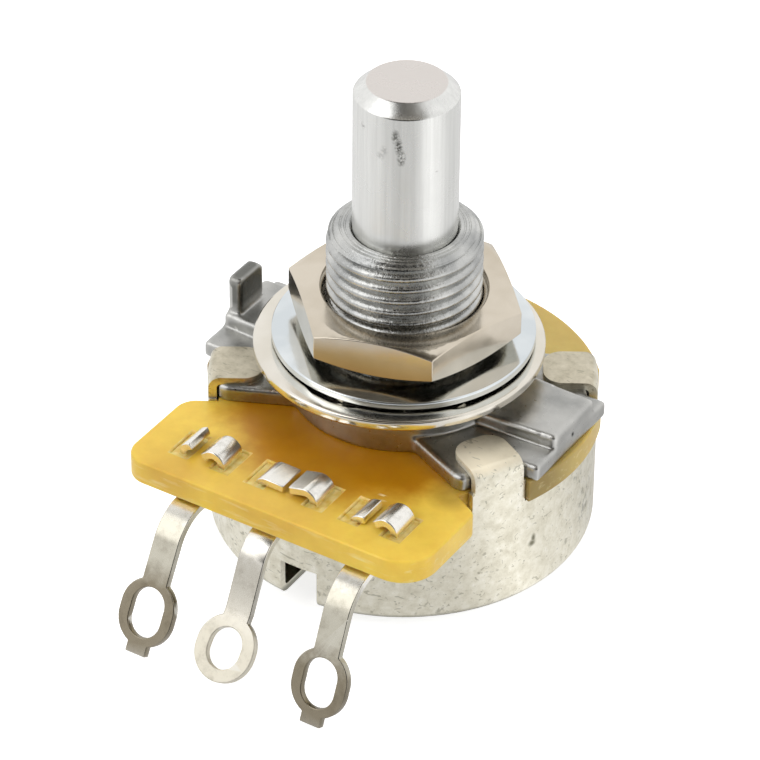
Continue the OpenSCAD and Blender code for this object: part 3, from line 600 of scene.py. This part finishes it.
boardLook = {"rim": 0.14, "edge": 0.14, "corners": [(-10.35, -8.51, 0.7), (10.35, -8.6, 0.35)],
             "slotsX": [-7.45, -4.55, -2.05, 2.05, 4.55, 7.45], "slotWidth": 1.2, "slotFront": -13.3,
             "slotBack": -10.9, "slotReachX": 9, "slack": 0.05, "fillGap": 0.02, "fillDepth": 0.13,
             "fillHeight": 1.0, "rimTone": (-4, 12), "rimBehind": (-3.0, -2.0), "oval": (1.15, 0.92, 0.0),
             "orangeEnds": (10.8, 13.9), "orangeSway": 2.0, "sideDepth": (0.05, 0.25),
             "browner": [(-7.0, -14.8, 8.8, 3.4, 2.0, 0.55), (0.0, -14.6, 8.8, 6.0, 2.0, 0.4)],
             "stainAndShadow": [(8.3, -7.9, 8.9, 1.7, 1.0, 0.6)], "scratch": [(5.05, -10.15, 9.0, 0.5, 0.5, 0.8)]}


def phenolicLaminate():
    # Phenolic paper laminate: amber, satin and slightly translucent, with painted shade in deep orange
    # towards the bushing and a painted shadow by the right pad; yellow on the tab, olive where only a thin
    # rim shows, with a faint mottle and light torn fibres on its sides
    look = boardLook
    finish, tree, skin, place = newFinish("phenolicLaminate", Metallic=0.0, Roughness=0.34, IOR=1.5,
                                          Subsurface_Weight=0.25, Subsurface_Scale=0.8 * mm)
    skin.inputs["Subsurface Radius"].default_value = (1.0, 0.45, 0.12)
    mottle = addNode(tree, "ShaderNodeTexNoise", {
        "Vector": place, "Scale": perMm(2.2), "Detail": 5.0, "Roughness": 0.6})
    lengthwise = addNode(tree, "ShaderNodeMapping", {"Vector": place, "Scale": (0.2, 1.0, 1.0)})
    fibre = addNode(tree, "ShaderNodeTexNoise", {
        "Vector": lengthwise.outputs["Vector"], "Scale": perMm(0.3), "Detail": 4.0})
    apart = addNode(tree, "ShaderNodeSeparateXYZ", {"Vector": place})
    aside = addNode(tree, "ShaderNodeMath", {0: apart.outputs["X"]}, operation="ABSOLUTE")
    alongRim = addNode(tree, "ShaderNodeMath", {
        0: aside.outputs[0], 1: 0.5, 2: apart.outputs["Y"]}, operation="MULTIPLY_ADD")
    backward = addNode(tree, "ShaderNodeMapRange", {
        "Value": alongRim.outputs[0], "From Min": look["rimTone"][0] * mm,
        "From Max": look["rimTone"][1] * mm})
    yellow = setRamp(addNode(tree, "ShaderNodeValToRGB", {"Fac": backward.outputs["Result"]}),
                     [(0.04, "#f8d455"), (0.12, "#9c8644"), (0.45, "#9c8644"), (0.75, "#e0c56c")])
    # Painted shade: deep orange within an oval round the axis, in front, where the washers shade the board
    flatPlace = addNode(tree, "ShaderNodeVectorMath", {0: place, 1: look["oval"]}, operation="MULTIPLY")
    radius = addNode(tree, "ShaderNodeVectorMath", {0: flatPlace.outputs["Vector"]}, operation="LENGTH")
    swayed = addNode(tree, "ShaderNodeMath", {
        0: mottle.outputs["Fac"], 1: look["orangeSway"] * mm, 2: radius.outputs["Value"]},
        operation="MULTIPLY_ADD")
    outward = addNode(tree, "ShaderNodeMapRange", {
        "Value": swayed.outputs[0], "From Min": look["orangeEnds"][0] * mm,
        "From Max": look["orangeEnds"][1] * mm}, interpolation_type="SMOOTHSTEP")
    behind = addNode(tree, "ShaderNodeMapRange", {
        "Value": alongRim.outputs[0], "From Min": look["rimBehind"][0] * mm,
        "From Max": look["rimBehind"][1] * mm})
    plain = addNode(tree, "ShaderNodeMath", {
        0: outward.outputs["Result"], 1: behind.outputs["Result"]}, operation="MAXIMUM")
    tone = addNode(tree, "ShaderNodeMix", {
        "Factor": plain.outputs[0], "A": hexColour("#c4860c"), "B": yellow}, data_type="RGBA")
    # The second mark is a painted shadow in front of the casting's right pad; the browner marks are tone
    # patches
    for marks, colour in (("browner", "#d4a338"), ("stainAndShadow", "#96701c")):
        tone = addNode(tree, "ShaderNodeMix", {
            "Factor": markMask(tree, place, look[marks]), "A": tone.outputs["Result"],
            "B": hexColour(colour)}, data_type="RGBA")
    shade = setRamp(addNode(tree, "ShaderNodeValToRGB", {"Fac": mottle.outputs["Fac"]}),
                    [(0.3, "#f0e9dc"), (0.7, "#ffffff")])
    tone = addNode(tree, "ShaderNodeMix", {
        "Factor": 1.0, "A": tone.outputs["Result"], "B": shade}, data_type="RGBA", blend_type="MULTIPLY")
    layered = addNode(tree, "ShaderNodeMapping", {"Vector": place, "Scale": (0.12, 0.5, 1.0)})
    layers = addNode(tree, "ShaderNodeTexNoise", {
        "Vector": layered.outputs["Vector"], "Scale": perMm(0.3), "Detail": 4.0, "Roughness": 0.6})
    torn = addNode(tree, "ShaderNodeMapRange", {
        "Value": layers.outputs["Fac"], "From Min": 0.56, "From Max": 0.72, "To Min": 0.0, "To Max": 0.35})
    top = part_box("wafer")[1].z
    onSide = addNode(tree, "ShaderNodeMapRange", {
        "Value": apart.outputs["Z"], "From Min": top - look["sideDepth"][0] * mm,
        "From Max": top - look["sideDepth"][1] * mm})
    fibreCut = addNode(tree, "ShaderNodeMapRange", {
        "Value": fibre.outputs["Fac"], "From Min": 0.5, "From Max": 0.56})
    scratch = markMask(tree, place, look["scratch"])
    for mask, where in ((torn.outputs["Result"], onSide), (scratch, fibreCut)):
        pale = addNode(tree, "ShaderNodeMath", {0: mask, 1: where.outputs["Result"]}, operation="MULTIPLY")
        tone = addNode(tree, "ShaderNodeMix", {
            "Factor": pale.outputs[0], "A": tone.outputs["Result"], "B": hexColour("#fdf0bf")},
            data_type="RGBA")
    bump = addNode(tree, "ShaderNodeBump", {
        "Height": fibre.outputs["Fac"], "Strength": 0.5, "Distance": 0.012 * mm})
    coat(tree, skin, Base_Color=tone.outputs["Result"], Normal=bump.outputs["Normal"])
    return finish


def mottledSkin(name, dark, light, size, **shader):
    finish, tree, skin, place = newFinish(name, **shader)
    mottle = addNode(tree, "ShaderNodeTexNoise", {"Vector": place, "Scale": perMm(size), "Detail": 4.0})
    tone = setRamp(addNode(tree, "ShaderNodeValToRGB", {"Fac": mottle.outputs["Fac"]}),
                   [(0.3, dark), (0.7, light)])
    bump = addNode(tree, "ShaderNodeBump", {
        "Height": mottle.outputs["Fac"], "Strength": 0.3, "Distance": 0.01 * mm})
    coat(tree, skin, Base_Color=tone, Normal=bump.outputs["Normal"])
    return finish


def makeBoard(crushed):
    look = boardLook
    board = copyNode("wafer", "amberWafer")
    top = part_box("wafer")[1].z
    board.data.materials.clear()
    for finish in (phenolicLaminate(), crushed):
        board.data.materials.append(finish)

    for x, y, reach in look["corners"]:
        corner = Vector((x, y))

        def atCorner(edge):
            return all((v.co.xy / mm - corner).length < look["slack"] for v in edge.verts)

        bevelChosen(board, atCorner, reach, 4)

    def inSlots(point):
        return (abs(point.x) < look["slotReachX"] * mm
                and look["slotFront"] - look["slack"] < point.y / mm < look["slotBack"] + look["slack"])

    def onSlotRim(edge):
        onTop = all(abs(v.co.z - top) < 0.01 * mm and inSlots(v.co) for v in edge.verts)
        return onTop and (edge.calc_face_angle(0) or 0) > 0.5

    for face in board.data.polygons:
        if abs(face.normal.z) < 0.5 and inSlots(face.center):
            face.material_index = 1
    bevelChosen(board, onSlotRim, look["rim"], 2, material=1)
    bevelSharp(board, look["edge"], 3, 60)
    finishPiece(board, None, "housing", "wafer")


def packSlots(crushed):  # crushed laminate round each prong
    look = boardLook
    deselect()
    depth = look["slotBack"] - look["slotFront"]
    middle = Vector((look["slotsX"][0], look["slotFront"] + depth / 2,
                     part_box("wafer")[1].z / mm - look["fillDepth"] - look["fillHeight"] / 2)) * mm
    bpy.ops.mesh.primitive_cube_add(size=1, location=middle, scale=(
        (look["slotWidth"] - look["fillGap"]) * mm, (depth - look["fillGap"]) * mm, look["fillHeight"] * mm))
    first = bpy.context.object
    first.name = "slotPacking1"
    bpy.ops.object.transform_apply(location=True, rotation=True, scale=True)
    packings = [first]
    for number, x in enumerate(look["slotsX"][1:], 2):
        packing = first.copy()
        packing.data = first.data.copy()
        packing.name = "slotPacking" + str(number)
        bpy.context.scene.collection.objects.link(packing)
        packing.data.transform(Matrix.Translation(((x - look["slotsX"][0]) * mm, 0, 0)))
        packings.append(packing)
    for packing in packings:
        finishPiece(packing, crushed, "housing", "wafer")


# Laminate crushed by the punch: paler, dry and rough, so the slots look torn
crushedEdge = mottledSkin("crushedLaminateEdge", "#e2b743", "#f4db94", 0.5, Roughness=0.6,
                          Subsurface_Weight=0.3, Subsurface_Scale=0.5 * mm)
makeBoard(crushedEdge)
packSlots(crushedEdge)

innerFinishes = {
    # Printed carbon film: matt black
    "resistance_track": mottledSkin("carbonFilm", "#1a1918", "#2c2a28", 0.3, Roughness=0.6),
    # Oiled spring steel: dark grey, half bright
    "retaining_ring": mottledSkin("springSteel", "#6f6c66", "#8e8a83", 0.5, Metallic=1.0, Roughness=0.35),
    # Moulded natural nylon: creamy and slightly translucent
    "rotor": mottledSkin("mouldedNylon", "#dcd7c6", "#ece8da", 0.8, Roughness=0.45, Subsurface_Weight=0.15,
                         Subsurface_Scale=0.6 * mm),
    # Spring bronze sheet: golden brown, bright
    "wiper_contact": mottledSkin("springBronze", "#b98a45", "#cfa25b", 0.5, Metallic=1.0, Roughness=0.3)}
for node, finish in innerFinishes.items():
    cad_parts[node].data.materials[0] = finish
print("inner parts coloured")

# Turns are parts of a full turn of the compass round the object, anticlockwise from -X. Lamps and cards
# stand at an azimuth and elevation in degrees, and so many metres from a point on the shaft's axis
studio = {"floorDrop": 0.15, "floorSize": 3.0, "paper": "#ededed", "skyForDiffuse": 0.47, "seenFloor": 0.74,
          "floorTurns": [(0.0, 0.92), (0.16, 0.9), (0.28, 0.7), (0.4, 0.74), (0.46, 1.16), (0.53, 1.18),
                         (0.6, 0.8), (0.75, 0.84), (1.0, 0.92)],
          "nearTurns": [(0.0, "#ffffff"), (0.465, "#ffffff"), (0.51, "#e4e4e4"), (0.56, "#e8e8e8"),
                        (0.66, "#f4f4f4")],
          "nearReach": (24, 30), "aimHeight": 10}
lamps = {"backBox": {"azimuth": 200, "elevation": 62, "distance": 0.4, "size": 0.26, "power": 0.45},
         "leftBox": {"azimuth": -35, "elevation": 38, "distance": 0.4, "size": 0.2, "power": 0.52},
         "rightBox": {"azimuth": 80, "elevation": 30, "distance": 0.4, "size": 0.2, "power": 0.45}}
cards = {"cameraSide": {"azimuth": 25, "elevation": 36, "distance": 0.5, "width": 0.92, "height": 0.74,
                        "glow": 1.0, "shades": [(0.0, "#161616"), (0.49, "#1a1a1a"), (0.57, "#8f8b84"),
                                                (0.66, "#b9b4ab"), (0.8, "#827e77"), (1.0, "#5c5953")]},
         "overhead": {"azimuth": -13, "elevation": 81, "distance": 0.5, "width": 0.46, "height": 0.46,
                      "glow": 1.0, "shades": [(0.0, "#2f2d2a"), (0.7, "#45423d"), (1.0, "#8a8780")]},
         "leftPanel": {"azimuth": -38, "elevation": 42, "distance": 0.48, "width": 0.34, "height": 0.4,
                       "glow": 1.9, "shades": [(0.0, "#ffffff"), (1.0, "#ffffff")]}}
bounceLook = {"azimuth": -76, "radius": 8.15, "height": 13.47, "depth": 3.3, "width": 9.4,
              "shades": [(0.0, "#ae8d57"), (0.4, "#bda474"), (1.0, "#cfc09c")]}
view = {"elevation": 0.626173, "azimuth": 32.0, "roll": 0.0096865, "distance": 259.122, "side": -1.40407,
        "height": 9.33994, "sensor": 36, "focalPixels": 4253.022, "imagePixels": 760}


def towards(azimuth, elevation):  # angles in radians
    return Vector((math.sin(azimuth) * math.cos(elevation), -math.cos(azimuth) * math.cos(elevation),
                   math.sin(elevation)))


def makeFloor():
    # White backdrop paper: matt in its light, plain white to the camera, and a ring of levels in reflections
    deselect()
    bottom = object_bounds()[0].z - studio["floorDrop"] * mm
    bpy.ops.mesh.primitive_plane_add(size=studio["floorSize"], location=(0, 0, bottom))
    floor = bpy.context.object
    floor.name = "floor"
    paper, tree = newPaint("whitePaper")
    path = addNode(tree, "ShaderNodeLightPath")
    matt = addNode(tree, "ShaderNodeBsdfDiffuse", {"Color": hexColour(studio["paper"])})
    lift = addNode(tree, "ShaderNodeEmission", {"Color": (1, 1, 1, 1), "Strength": studio["seenFloor"]})
    seen = addNode(tree, "ShaderNodeAddShader", {0: matt.outputs[0], 1: lift.outputs[0]})
    place = addNode(tree, "ShaderNodeTexCoord").outputs["Object"]
    compass = addNode(tree, "ShaderNodeTexGradient", {"Vector": place}, gradient_type="RADIAL")
    turn = compass.outputs["Fac"]
    level = setRamp(addNode(tree, "ShaderNodeValToRGB", {"Fac": turn}), studio["floorTurns"])
    dimmer = setRamp(addNode(tree, "ShaderNodeValToRGB", {"Fac": turn}), studio["nearTurns"])
    reach = addNode(tree, "ShaderNodeVectorMath", {0: place}, operation="LENGTH")
    near = addNode(tree, "ShaderNodeMapRange", {
        "Value": reach.outputs["Value"], "From Min": studio["nearReach"][0] * mm,
        "From Max": studio["nearReach"][1] * mm, "To Min": 1.0, "To Max": 0.0})
    shown = addNode(tree, "ShaderNodeMix", {
        "Factor": near.outputs["Result"], "A": level, "B": dimmer}, data_type="RGBA", blend_type="MULTIPLY")
    mirrored = addNode(tree, "ShaderNodeEmission", {"Color": shown.outputs["Result"]})
    sides = addNode(tree, "ShaderNodeMixShader", {
        "Fac": path.outputs["Is Camera Ray"], 1: matt.outputs[0], 2: seen.outputs[0]})
    mixed = addNode(tree, "ShaderNodeMixShader", {
        "Fac": path.outputs["Is Glossy Ray"], 1: sides.outputs[0], 2: mirrored.outputs[0]})
    addNode(tree, "ShaderNodeOutputMaterial", {"Surface": mixed.outputs[0]})
    floor.data.materials.append(paper)


def makeWorld():  # white where it is seen, weaker where it lights
    world = bpy.data.worlds.new("whiteRoom")
    bpy.context.scene.world = world
    world.use_nodes = True
    tree = world.node_tree
    tree.nodes.clear()
    path = addNode(tree, "ShaderNodeLightPath")
    seen = addNode(tree, "ShaderNodeMath", {
        0: path.outputs["Is Camera Ray"], 1: path.outputs["Is Glossy Ray"]}, operation="MAXIMUM")
    seen = addNode(tree, "ShaderNodeMath", {
        0: seen.outputs[0], 1: path.outputs["Is Transmission Ray"]}, operation="MAXIMUM")
    level = addNode(tree, "ShaderNodeMapRange", {
        "Value": seen.outputs[0], "To Min": studio["skyForDiffuse"], "To Max": 1.0})
    sky = addNode(tree, "ShaderNodeBackground", {"Color": (1, 1, 1, 1), "Strength": level.outputs["Result"]})
    addNode(tree, "ShaderNodeOutputWorld", {"Surface": sky.outputs[0]})


def addLamp(name, look):
    back = towards(math.radians(look["azimuth"]), math.radians(look["elevation"]))
    lamp = bpy.data.lights.new(name, "AREA")
    lamp.shape = "SQUARE"
    lamp.size = look["size"]
    lamp.energy = look["power"]
    holder = bpy.data.objects.new(name, lamp)
    bpy.context.scene.collection.objects.link(holder)
    holder.location = Vector((0, 0, studio["aimHeight"] * mm)) + back * look["distance"]
    holder.rotation_euler = back.to_track_quat("Z", "Y").to_euler()
    holder.visible_glossy = False


def startCard(name, location, rotation, width, height):
    deselect()
    bpy.ops.mesh.primitive_plane_add(size=1, location=location, rotation=rotation)
    card = bpy.context.object
    card.name = name
    card.scale = (width, height, 1)
    paint, tree = newPaint(name + "Paint")
    card.data.materials.append(paint)
    place = addNode(tree, "ShaderNodeTexCoord").outputs["Object"]
    return card, tree, addNode(tree, "ShaderNodeSeparateXYZ", {"Vector": place})


def lightCard(card, tree, along, shades, glow, clear):  # only reflections see it, except where it is clear
    part = addNode(tree, "ShaderNodeMapRange", {"Value": along, "From Min": -0.5, "From Max": 0.5})
    tone = setRamp(addNode(tree, "ShaderNodeValToRGB", {"Fac": part.outputs["Result"]}), shades)
    shine = addNode(tree, "ShaderNodeEmission", {"Color": tone, "Strength": glow})
    empty = addNode(tree, "ShaderNodeBsdfTransparent")
    mixed = addNode(tree, "ShaderNodeMixShader", {"Fac": clear, 1: shine.outputs[0], 2: empty.outputs[0]})
    addNode(tree, "ShaderNodeOutputMaterial", {"Surface": mixed.outputs[0]})
    card.visible_camera = card.visible_diffuse = card.visible_shadow = card.visible_transmission = False


def addCard(name, look):  # draws a dark or light band on metal, as in a photo studio
    back = towards(math.radians(look["azimuth"]), math.radians(look["elevation"]))
    card, tree, apart = startCard(name, back * look["distance"] + Vector((0, 0, studio["aimHeight"] * mm)),
                                  back.to_track_quat("Z", "Y").to_euler(), look["width"], look["height"])
    sideways = addNode(tree, "ShaderNodeMath", {0: apart.outputs["X"]}, operation="ABSOLUTE")
    clear = addNode(tree, "ShaderNodeMapRange", {
        "Value": sideways.outputs[0], "From Min": 0.36, "From Max": 0.5})
    lightCard(card, tree, apart.outputs["Y"], look["shades"], look["glow"], clear.outputs["Result"])


def addBounce():  # the laminate's colour thrown up on the nut's front face, seen only from above it
    look = bounceLook
    turn = math.radians(look["azimuth"])
    centre = Vector((math.cos(turn) * look["radius"], math.sin(turn) * look["radius"], look["height"])) * mm
    card, tree, apart = startCard("amberBounce", centre, (0, 0, turn),
                                  look["depth"] * mm, look["width"] * mm)
    faded = addNode(tree, "ShaderNodeMapRange", {
        "Value": apart.outputs["X"], "From Min": 0.1, "From Max": 0.5})
    clear = addNode(tree, "ShaderNodeMath", {
        0: addNode(tree, "ShaderNodeNewGeometry").outputs["Backfacing"], 1: faded.outputs["Result"]},
        operation="MAXIMUM")
    lightCard(card, tree, apart.outputs["X"], look["shades"], 1.0, clear.outputs[0])


def makeCamera():
    azimuth, roll = math.radians(view["azimuth"]), view["roll"]
    back = towards(azimuth, view["elevation"])
    right = Vector((math.cos(azimuth), math.sin(azimuth), 0))
    up = back.cross(right)
    turned = right * math.cos(roll) + up * math.sin(roll)
    upright = up * math.cos(roll) - right * math.sin(roll)
    camera = bpy.data.objects.new("camera", bpy.data.cameras.new("camera"))
    bpy.context.scene.collection.objects.link(camera)
    camera.data.sensor_width = view["sensor"]
    camera.data.lens = view["sensor"] * view["focalPixels"] / view["imagePixels"]
    camera.data.clip_start, camera.data.clip_end = 0.01, 10
    place = Vector((0, 0, view["height"])) + back * view["distance"] + right * view["side"]
    facing = Matrix((turned, upright, back)).transposed().to_4x4()
    camera.matrix_world = Matrix.Translation(place * mm) @ facing
    bpy.context.scene.camera = camera


makeFloor()
makeWorld()
for name, look in lamps.items():
    addLamp(name, look)
for name, look in cards.items():
    addCard(name, look)
addBounce()
makeCamera()
bpy.context.scene.view_settings.view_transform = "Standard"

print("scene ready")
